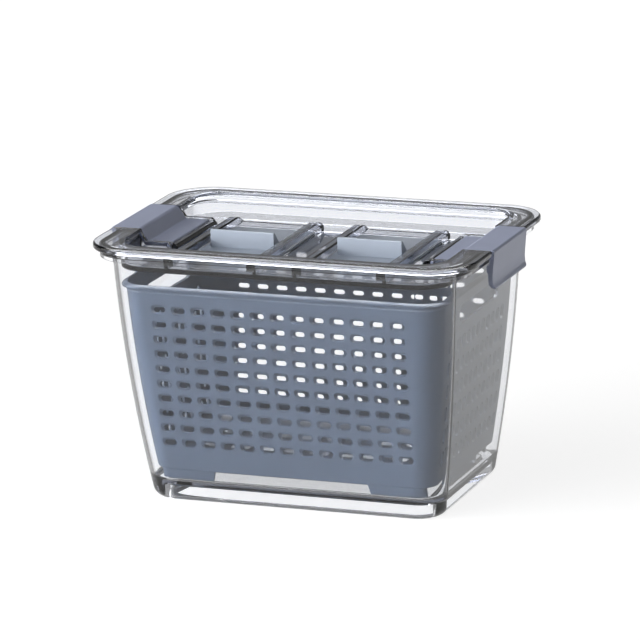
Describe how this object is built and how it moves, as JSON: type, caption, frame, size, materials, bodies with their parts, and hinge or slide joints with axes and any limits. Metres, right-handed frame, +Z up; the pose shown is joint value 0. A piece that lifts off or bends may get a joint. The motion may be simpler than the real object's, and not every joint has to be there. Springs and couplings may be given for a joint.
{
  "type": "produce keeper",
  "caption": "Clear rectangular food box with a slotted draining basket inside and a clear lid with a hinged clip at each end and sliding vents.",
  "frame": {"origin": "middle of the base, on the plane that it stands on", "axes": "+X along the long side, to the right as seen from the side where the vent handles are nearer; +Y to the back; +Z up"},
  "size_m": [0.244, 0.166, 0.161],
  "materials": {
    "clear_box": "clear, polished",
    "clear_lid": "clear, polished",
    "basket_plastic": "satin, moulded",
    "clip_plastic": "satin, moulded",
    "slider_plastic": "satin, moulded"
  },
  "bodies": {
    "keeper": {"outer_box": "clear_box", "basket": "basket_plastic", "lid": "clear_lid"},
    "left_clip": {"clip_left": "clip_plastic"},
    "right_clip": {"clip_right": "clip_plastic"},
    "left_slider": {"vent_slider_left": "slider_plastic"},
    "right_slider": {"vent_slider_right": "slider_plastic"}
  },
  "joints": [
    {"name": "clip_left_hinge", "type": "hinge", "parent": "keeper", "child": "left_clip", "pos_m": [-0.084, 0, 0.1521], "axis": [0, 1, 0], "range_deg": [0, 100]},
    {"name": "clip_right_hinge", "type": "hinge", "parent": "keeper", "child": "right_clip", "pos_m": [0.084, 0, 0.1521], "axis": [0, -1, 0], "range_deg": [0, 100]},
    {"name": "vent_left_slide", "type": "slide", "parent": "keeper", "child": "left_slider", "axis": [0, -1, 0], "range_m": [0, 0.03]},
    {"name": "vent_right_slide", "type": "slide", "parent": "keeper", "child": "right_slider", "axis": [0, -1, 0], "range_m": [0, 0.03]}
  ]
}
